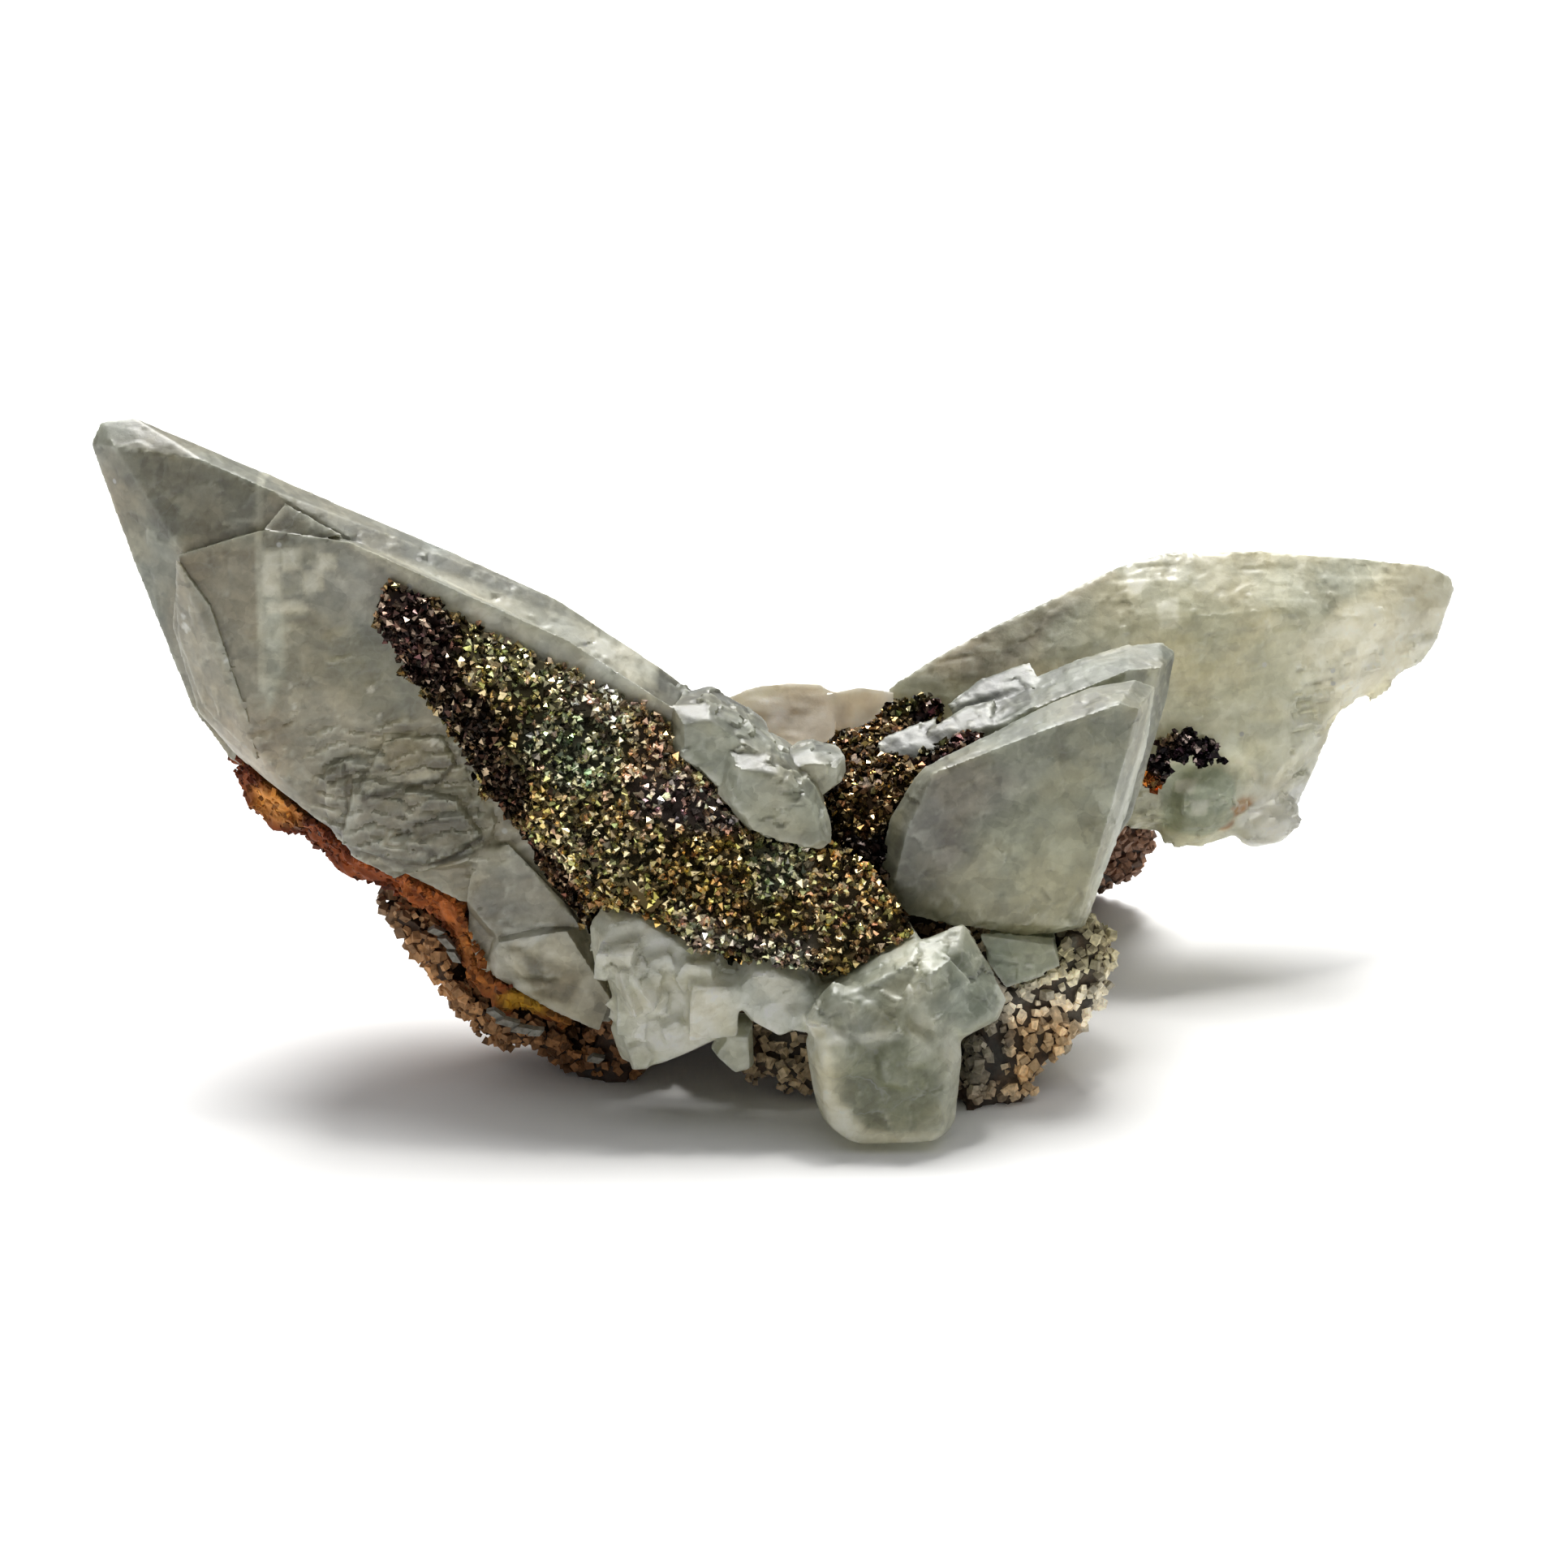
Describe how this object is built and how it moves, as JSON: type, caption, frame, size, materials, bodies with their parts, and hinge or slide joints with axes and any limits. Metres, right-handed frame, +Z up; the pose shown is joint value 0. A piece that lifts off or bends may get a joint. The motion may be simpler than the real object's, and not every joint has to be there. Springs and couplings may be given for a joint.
{
  "type": "mineral specimen",
  "caption": "Tarnished golden chalcopyrite druse on a V-shaped pair of grey-green calcite crystals, with a knobbly calcite foot and brown host rock.",
  "frame": {"origin": "middle of the footprint box, on the surface that the specimen stands on", "axes": "+Z up, +X from the tall left crystal towards the broad right one, +Y away from the viewer of the druse side"},
  "size_m": [0.0816, 0.0418, 0.0369],
  "materials": {
    "grey_calcite": "translucent, satin",
    "cream_calcite": "translucent, satin",
    "peach_calcite": "translucent, satin",
    "chalcopyrite": "metallic, tarnished",
    "dark_chalcopyrite": "metallic, dark tarnish",
    "rust": "earthy",
    "host_rock": "granular, rough"
  },
  "bodies": {
    "root": {"left_calcite_crystal": "grey_calcite", "right_calcite_crystal": "cream_calcite", "peach_calcite_crystal": "peach_calcite", "leaf_calcite_pair": "grey_calcite", "front_calcite_cluster": "grey_calcite", "calcite_block": "grey_calcite", "chalcopyrite_blade": "chalcopyrite", "chalcopyrite_saddle": "chalcopyrite", "chalcopyrite_patch": "dark_chalcopyrite", "rusty_rind": "rust", "host_rock": "host_rock"}
  },
  "joints": []
}
